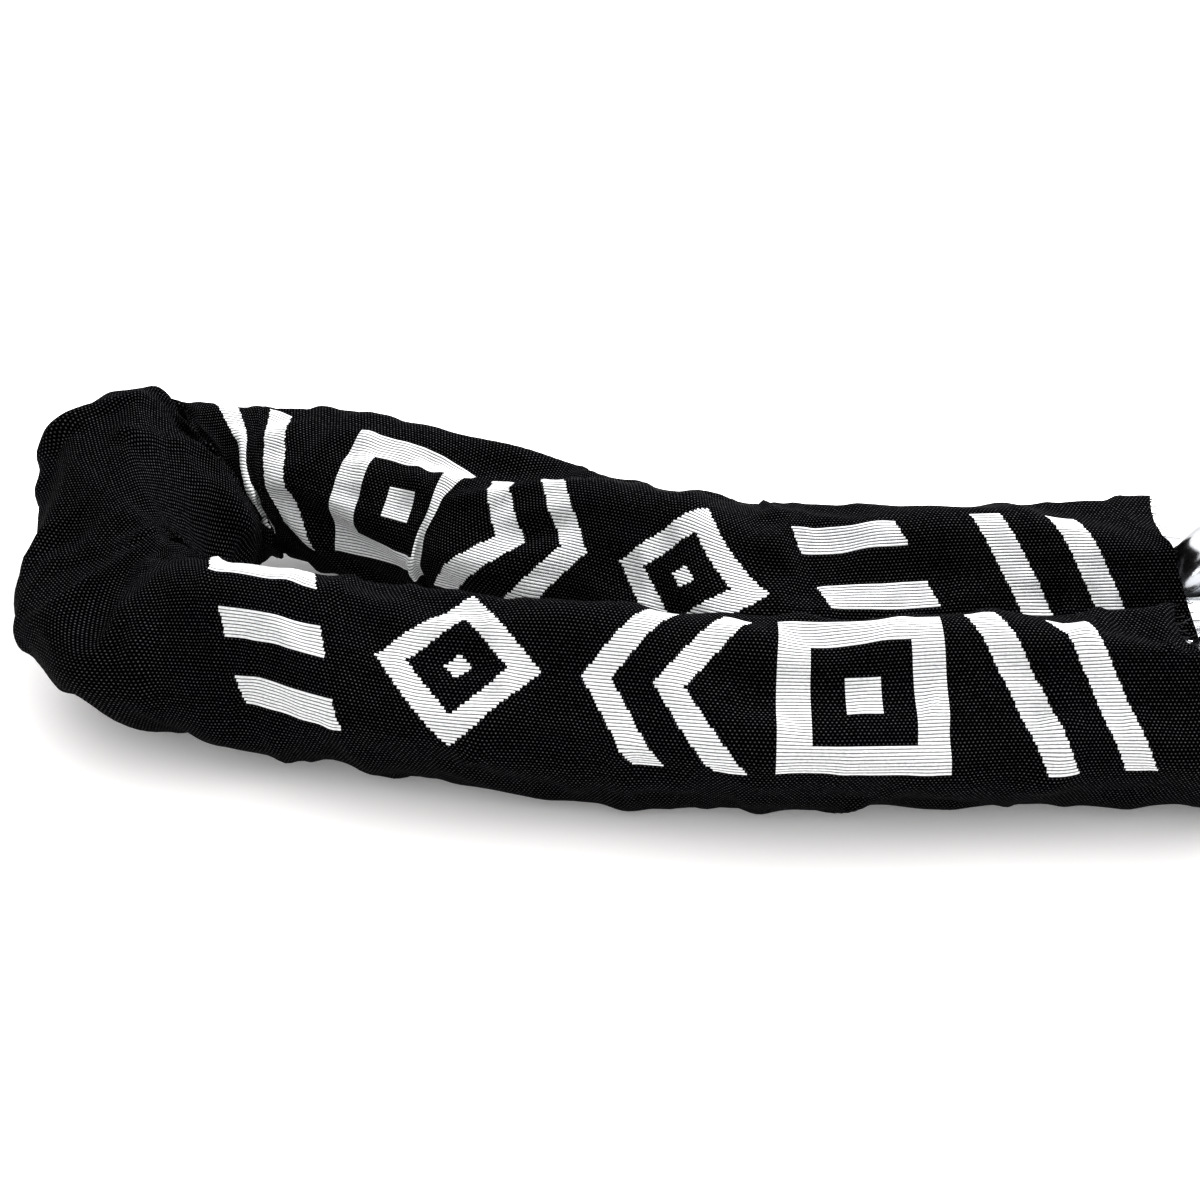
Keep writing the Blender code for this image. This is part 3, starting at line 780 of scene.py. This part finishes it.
def motif_mask(n, x, y, number):
    """The woven shapes, picked by the cell's number: bars, square, arrowheads, diamond, steps."""
    ax, ay = n.math("ABSOLUTE", x), n.math("ABSOLUTE", y)
    inside = below(n, ay, MOTIF_HALF_MM)
    slant = n.math("ABSOLUTE", n.math("SUBTRACT", x, n.math("MULTIPLY", y, 0.42)))
    bars = ring_mask(n, slant, middle=7.4, half=2.9)
    edge = n.math("MAXIMUM", ax, ay)
    square = n.math("MAXIMUM", ring_mask(n, edge, middle=12.0, half=2.9), below(n, edge, 3.2))
    head = n.math("ADD", x, n.math("MULTIPLY", ay, 0.72))
    heads = n.math("MAXIMUM", ring_mask(n, head, middle=-2.5, half=2.8),
                   ring_mask(n, head, middle=11.0, half=2.8))
    diamond = n.math("ADD", ax, ay)
    lozenge = n.math("MAXIMUM", ring_mask(n, diamond, middle=12.0, half=3.0), below(n, diamond, 2.4))
    rungs = n.math("MAXIMUM", below(n, ay, 2.5), ring_mask(n, ay, middle=12.2, half=2.5))
    steps = both(n, rungs, below(n, slant, 10.8))
    total = 0.0
    for index, shape in enumerate((bars, square, heads, lozenge, steps)):
        chosen = n.math("COMPARE", number, float(index), 0.4)
        total = n.math("ADD", total, both(n, shape, chosen))
    return both(n, total, inside)


def strand_mask(n, s, plain, cells):
    """1 over one strand's cells, beyond its plain stretch, which is negative on the front strand."""
    half = cells * CELL_MM / 2
    return ring_mask(n, s, math.copysign(abs(plain) + half, plain), half)


def white_mask(n, pick, end):
    """1 where the white yarn lies on top, in steps of half a pick along and one end across."""
    s = n.math("MULTIPLY", n.math("FLOOR", n.math("MULTIPLY", pick, 2.0)), WARP_MM / 2)
    t = n.math("MULTIPLY", n.math("FLOOR", end), WEFT_MM)
    on_front = below(n, s, 0.0)
    run = n.math("SUBTRACT", s, PLAIN_BACK_MM)
    run = n.math("ADD", run, n.math("MULTIPLY", on_front, PLAIN_BACK_MM + PLAIN_FRONT_MM))
    half = GIRTH_MM / 2
    row = n.math("WRAP", t, half / 2, -half / 2)
    column = n.math("WRAP", run, CELL_MM, 0.0)
    x = n.math("SUBTRACT", column, CELL_MM / 2)
    cell = n.math("FLOOR", n.math("DIVIDE", run, CELL_MM))
    number = n.math("ROUND", n.math("WRAP", cell, float(MOTIFS), 0.0))
    front = strand_mask(n, s, -PLAIN_FRONT_MM, CELLS_FRONT)
    back = strand_mask(n, s, PLAIN_BACK_MM, CELLS_BACK)
    return both(n, motif_mask(n, x, row, number), n.math("ADD", front, back))


def weave_material():
    """Charcoal woven nylon with white shapes woven in, over picks along the cloth and ends across, and
    painted highlights on the crowns of the black yarns.
    """
    n = Nodes("woven_nylon")
    cloth = n.new("ShaderNodeUVMap", uv_map="cloth")
    parts = n.new("ShaderNodeSeparateXYZ")
    n.link(cloth.outputs[0], parts.inputs[0])
    pick = n.math("DIVIDE", parts.outputs[0], WARP_MM)
    end = n.math("DIVIDE", parts.outputs[1], WEFT_MM)
    white = white_mask(n, pick, end)
    across = n.math("FRACT", end)
    along = n.math("FRACT", pick)
    odd = n.math("MODULO", n.math("FLOOR", end), 2.0)
    shifted = n.math("FRACT", n.math("ADD", along, n.math("MULTIPLY", odd, 0.5)))
    bulge_across = n.math("SINE", n.math("MULTIPLY", across, math.pi))
    bulge_along = n.math("SINE", n.math("MULTIPLY", shifted, math.pi))
    yarn = both(n, n.math("ABSOLUTE", bulge_across), n.math("ABSOLUTE", bulge_along))
    wear = n.noise(cloth.outputs[0], 0.09, 3.0)
    fine = n.noise(cloth.outputs[0], 1.7, 2.0)
    # Painted highlights: the crowns of the black yarns are coloured lighter, standing in for their
    # sheen.
    painted_glints = n.ramp(yarn, 0.68, 0.97)
    painted_glints = both(n, painted_glints, n.ramp(fine, 0.35, 0.65, 0.2, 0.9))
    ground = n.mix(wear, *GROUND_COLOURS)
    black = n.mix(painted_glints, ground, PAINTED_GLINT_COLOUR)
    groove = n.ramp(n.math("ABSOLUTE", bulge_across), 0.18, 0.55)
    thread = n.mix(n.ramp(fine, 0.3, 0.7), *THREAD_COLOURS)
    pale = n.mix(groove, GROOVE_COLOUR, thread)
    colour = n.mix(white, black, pale)
    height = n.math("ADD", both(n, yarn, n.math("SUBTRACT", 1.0, white)),
                    both(n, n.math("ABSOLUTE", bulge_across), white))
    n.set(Base_Color=colour, Roughness=n.mix(white, (0.55, 0.55, 0.55), (0.62, 0.62, 0.62)),
          Normal=n.bump(height, 0.8, WEAVE_DEPTH))
    n.shader.inputs["Specular IOR Level"].default_value = 0.002
    n.shader.inputs["Sheen Weight"].default_value = 0.004
    n.shader.inputs["Sheen Roughness"].default_value = 0.45
    n.shader.inputs["Sheen Tint"].default_value = (0.75, 0.7, 0.82, 1.0)
    return n.material


# ---------------------------------------------------------------- hard materials

def metal_material(name, colour, rough, brushed=(1.0, 1.0, 1.0), bump=0.03):
    """Plated metal with faint unevenness and fine scratches, drawn out where it is brushed."""
    n = Nodes(name)
    place = n.new("ShaderNodeTexCoord").outputs["Object"]
    broad = n.noise(place, 90.0, 3.0)
    drawn = n.new("ShaderNodeMapping")
    n.link(place, drawn.inputs["Vector"])
    drawn.inputs["Scale"].default_value = brushed
    scratch = n.noise(drawn.outputs[0], 2000.0, 4.0, 0.7)
    tint = tuple(c * 0.82 for c in colour)
    n.set(Base_Color=n.mix(broad, tint, colour), Metallic=1.0,
          Roughness=n.ramp(scratch, 0.3, 0.8, rough, rough + 0.12),
          Normal=n.bump(scratch, bump, 0.0001))
    return n.material


def coated_material(name, colour, rough, size=1500.0, bump=0.25, gloss=0.2):
    """Powder coat, rubber or moulded plastic: a fine pebbled skin."""
    n = Nodes(name)
    place = n.new("ShaderNodeTexCoord").outputs["Object"]
    pebble = n.noise(place, size, 2.0)
    broad = n.noise(place, 60.0, 3.0)
    pale = tuple(c * 1.6 for c in colour)
    n.set(Base_Color=n.mix(n.ramp(broad, 0.4, 0.8), colour, pale),
          Roughness=n.ramp(broad, 0.3, 0.7, rough - 0.06, rough + 0.08),
          Normal=n.bump(pebble, bump, 0.0002))
    n.shader.inputs["Specular IOR Level"].default_value = gloss
    return n.material


# ---------------------------------------------------------------- finished nodes

def body_of(node):
    bodies = frame["record"]["behaviour"]["bodies"]
    return next(body for body, nodes in bodies.items() if node in nodes)


def evaluated(obj):
    """The object's mesh with its modifiers applied."""
    seen = obj.evaluated_get(bpy.context.evaluated_depsgraph_get())
    mesh = bpy.data.meshes.new_from_object(seen)
    obj.modifiers.clear()
    return mesh


def refine(node, width, finish):
    """A copy of a node of the frame with rounded edges, in the node's place."""
    mesh = frame["nodes"][node].data.copy()
    bm = bmesh.new()
    bm.from_mesh(mesh)
    bmesh.ops.remove_doubles(bm, verts=bm.verts, dist=SAME_POINT)
    bmesh.ops.dissolve_limit(bm, angle_limit=math.radians(FLAT_ANGLE_DEG), verts=bm.verts,
                             edges=bm.edges)
    bm.to_mesh(mesh)
    bm.free()
    mesh.materials.clear()
    mesh.materials.append(finish)
    obj = new_object(f"{node}_finished", mesh)
    if width:
        edge = obj.modifiers.new("edge", "BEVEL")
        edge.width = width
        edge.segments = EDGE_SEGMENTS
        edge.limit_method = "ANGLE"
        edge.angle_limit = math.radians(EDGE_ANGLE_DEG)
        obj.data = evaluated(obj)
    place_piece(obj, body_of(node), node)


def place_piece(obj, body, node):
    obj.data.shade_smooth()
    obj.data.set_sharp_from_angle(angle=math.radians(SHARP_ANGLE_DEG))
    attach(obj, body)
    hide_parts(node)


# ---------------------------------------------------------------- chain and lock

def make_links(finish):
    places = {"apex": apex_place()}
    for side in ("front", "back"):
        for number, place in enumerate(strand(side), start=1):
            places[f"{side}_{number}"] = place
    for name, (centre, heading, lying) in places.items():
        mesh = link_mesh(f"wire_{name}", centre, heading, lying)
        mesh.materials.append(finish)
        link = new_object(f"wire_{name}", mesh)
        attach(link, name)
        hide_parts(f"link_{name}")


def shackle_path(bar, heel_end, toe_end, spread):
    """The shackle's centre line from its heel leg over its crossbar to its toe leg, and its radii."""
    path = [(heel_end, -spread), (heel_end - END_CHAMFER, -spread)]
    for side in (-1, 1):
        for step in range(CORNER_STEPS + 1):
            share = step if side < 0 else CORNER_STEPS - step
            turn = math.pi / 2 * share / CORNER_STEPS
            path.append((bar + SHACKLE_CORNER * (1 - math.sin(turn)),
                         side * (spread - SHACKLE_CORNER * (1 - math.cos(turn)))))
    path += [(toe_end - END_CHAMFER, spread), (toe_end, spread)]
    radii = [SHACKLE_RADIUS] * len(path)
    radii[0] = radii[-1] = SHACKLE_RADIUS - END_INSET
    return path, radii


def cut_pocket(shackle, place):
    """Takes a ball's pocket out of the shackle."""
    bm = bmesh.new()
    bmesh.ops.create_uvsphere(bm, u_segments=28, v_segments=18, radius=POCKET_RADIUS,
                              matrix=Matrix.Translation(place))
    ball = new_object("pocket", mesh_of(bm, "pocket"))
    pocket = shackle.modifiers.new("pocket", "BOOLEAN")
    pocket.operation = "DIFFERENCE"
    pocket.solver = "EXACT"
    pocket.object = ball
    shackle.data = evaluated(shackle)
    bpy.data.objects.remove(ball)


def make_shackle(finish):
    """A smooth round shackle with its two ball pockets, in place of the frame's."""
    low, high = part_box("shackle")
    centre = (low + high) / 2
    bar = low.x + SHACKLE_RADIUS
    spread = (high.y - low.y) / 2 - SHACKLE_RADIUS
    path, radii = shackle_path(bar, high.x, bar + TOE_LENGTH, spread)
    count = len(path)
    points = []
    for i, ((x, y), radius) in enumerate(zip(path, radii)):
        ahead = Vector(path[min(i + 1, count - 1)]) - Vector(path[max(i - 1, 0)])
        ahead.normalize()
        for j in range(SHACKLE_SIDES):
            angle = 2 * math.pi * j / SHACKLE_SIDES
            offset = Vector((-ahead.y, ahead.x)) * radius * math.cos(angle)
            points.append((x + offset.x, centre.y + y + offset.y, centre.z + radius * math.sin(angle)))
    faces = hoop_faces(count, SHACKLE_SIDES)
    faces.append(tuple(range(SHACKLE_SIDES)))
    faces.append(tuple(reversed(range((count - 1) * SHACKLE_SIDES, count * SHACKLE_SIDES))))
    mesh = grid_mesh("shackle_wire", points, faces)
    face_outwards(mesh)
    mesh.materials.append(finish)
    shackle = new_object("shackle_wire", mesh)
    for side, node in ((-1, "ball_heel"), (1, "ball_toe")):
        cut_pocket(shackle, (middle_of(node).x, centre.y + side * POCKET_ACROSS, centre.z))
    place_piece(shackle, "shackle", "shackle")


def finish_lock():
    """The padlock's finishes and rounded edges."""
    chrome = metal_material("hard_chrome", (0.8, 0.81, 0.82), rough=0.1)
    nickel = metal_material("nickel_plate", (0.7, 0.68, 0.64), rough=0.2, brushed=(1.0, 0.06, 1.0))
    brass = metal_material("machined_brass", (0.75, 0.56, 0.27), rough=0.28)
    coat = coated_material("powder_coat", (0.012, 0.012, 0.013), rough=0.42)
    rubber = coated_material("moulded_rubber", (0.008, 0.008, 0.0085), rough=0.6, size=900.0, bump=0.4)
    plastic = coated_material("moulded_plastic", (0.01, 0.01, 0.011), rough=0.34, size=1800.0, bump=0.15,
                              gloss=0.3)
    finishes = {"shackle_chrome": chrome, "nickel": nickel, "brass": brass, "block_paint": coat,
                "jacket_rubber": rubber, "bow_plastic": plastic}
    for entry in frame["record"]["subparts"]:
        node, slot = entry["node"], entry["material_slot"]
        if slot in finishes and node != "shackle":
            refine(node, EDGES_MM.get(node, 0.0) * MM, finishes[slot])
    make_shackle(chrome)
    make_grip(rubber)


def make_grip(finish):
    """Raised grip ribs on the top and the two long sides of the lock's rubber jacket."""
    low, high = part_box("jacket")
    middle, size = (low + high) / 2, high - low
    spacing = (size.x - 2 * GRIP_MARGIN) / (GRIP_RIBS - 1)
    top = (GRIP_WIDTH, size.y * GRIP_SHARE, 2 * GRIP_RISE)
    side = (GRIP_WIDTH, 2 * GRIP_RISE, size.z * GRIP_SHARE)
    bm = bmesh.new()
    for number in range(GRIP_RIBS):
        x = low.x + GRIP_MARGIN + number * spacing
        for place, across in (((x, middle.y, high.z), top),
                              ((x, low.y, middle.z), side),
                              ((x, high.y, middle.z), side)):
            turn = Matrix.Translation(place) @ Matrix.Diagonal((*across, 1.0))
            bmesh.ops.create_cube(bm, size=1.0, matrix=turn)
    bmesh.ops.bevel(bm, geom=bm.edges[:], offset=GRIP_RISE * GRIP_ROUND, segments=EDGE_SEGMENTS,
                    affect="EDGES", profile=0.5)
    mesh = mesh_of(bm, "jacket_grip")
    mesh.materials.append(finish)
    ribs = new_object("jacket_grip", mesh)
    mesh.set_sharp_from_angle(angle=math.radians(GRIP_SHARP_DEG))
    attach(ribs, body_of("jacket"))


# ---------------------------------------------------------------- stage

def make_floor():
    """A white floor that glows a little, so that it stays white round the shadows."""
    bm = bmesh.new()
    bmesh.ops.create_grid(bm, x_segments=1, y_segments=1, size=FLOOR_SIZE)
    mesh = mesh_of(bm, "floor")
    n = Nodes("white_floor")
    n.set(Base_Color=FLOOR_COLOUR, Roughness=0.6)
    n.shader.inputs["Emission Color"].default_value = (1.0, 1.0, 1.0, 1.0)
    n.shader.inputs["Emission Strength"].default_value = FLOOR_GLOW
    mesh.materials.append(n.material)
    floor = new_object("floor", mesh, False)


def make_light():
    """A bright sky, dimmer at its sides and dark behind the camera, and a soft lamp on the right."""
    world = bpy.data.worlds.new("studio")
    bpy.context.scene.world = world
    world.use_nodes = True
    tree = world.node_tree
    surround = tree.nodes["Background"]
    surround.inputs["Color"].default_value = (1.0, 1.0, 1.0, 1.0)
    ahead = tree.nodes.new("ShaderNodeTexCoord")
    parts = tree.nodes.new("ShaderNodeSeparateXYZ")
    tree.links.new(ahead.outputs["Generated"], parts.inputs[0])
    height = tree.nodes.new("ShaderNodeMapRange")
    lean = tree.nodes.new("ShaderNodeMapRange")
    dim = tree.nodes.new("ShaderNodeMath")
    dim.operation = "MINIMUM"
    for node, source, (low, high), bottom in ((height, parts.outputs[2], SIDE_TO_TOP, SKY_SIDE),
                                              (lean, parts.outputs[1], DARK_TO_TOP, SKY_DARK)):
        node.interpolation_type = "SMOOTHSTEP"
        tree.links.new(source, node.inputs["Value"])
        node.inputs["From Min"].default_value = low
        node.inputs["From Max"].default_value = high
        node.inputs["To Min"].default_value = bottom
        node.inputs["To Max"].default_value = SKY_TOP
    tree.links.new(height.outputs[0], dim.inputs[0])
    tree.links.new(lean.outputs[0], dim.inputs[1])
    tree.links.new(dim.outputs[0], surround.inputs["Strength"])
    middle = middle_of("link_apex") + Vector((CAMERA_ALONG, 0, 0))
    lamp = bpy.data.lights.new("softbox", "AREA")
    lamp.size = LAMP_SIZE
    lamp.energy = LAMP_POWER
    obj = bpy.data.objects.new("softbox", lamp)
    bpy.context.scene.collection.objects.link(obj)
    obj.location = middle + LAMP_PLACE
    obj.rotation_euler = (-LAMP_PLACE).to_track_quat("-Z", "Y").to_euler()


def make_camera():
    data = bpy.data.cameras.new("camera")
    data.sensor_width = CAMERA_SENSOR
    data.lens = CAMERA_LENS
    data.clip_start = CAMERA_NEAR
    camera = bpy.data.objects.new("camera", data)
    bpy.context.scene.collection.objects.link(camera)
    apex = middle_of("link_apex")
    camera.location = (apex.x + CAMERA_ALONG, apex.y - CAMERA_BACK, CAMERA_HEIGHT)
    camera.rotation_euler = (math.radians(90 - CAMERA_PITCH), 0, 0)
    bpy.context.scene.camera = camera


# ---------------------------------------------------------------- whole

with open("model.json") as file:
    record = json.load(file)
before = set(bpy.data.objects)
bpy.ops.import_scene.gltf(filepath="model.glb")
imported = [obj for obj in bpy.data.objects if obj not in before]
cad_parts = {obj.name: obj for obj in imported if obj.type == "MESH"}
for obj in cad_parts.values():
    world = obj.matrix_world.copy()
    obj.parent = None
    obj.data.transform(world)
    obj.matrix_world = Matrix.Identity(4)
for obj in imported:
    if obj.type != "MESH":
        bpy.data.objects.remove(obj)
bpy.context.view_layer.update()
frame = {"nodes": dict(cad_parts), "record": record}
bpy.context.scene.view_settings.view_transform = "Standard"
bpy.context.scene.view_settings.gamma = VIEW_GAMMA
make_camera()
make_floor()
make_light()
make_links(metal_material("bright_zinc", (0.83, 0.84, 0.86), rough=0.12))
make_sleeve(weave_material(), coated_material("loose_yarn", (0.02, 0.02, 0.022), rough=0.6))
finish_lock()
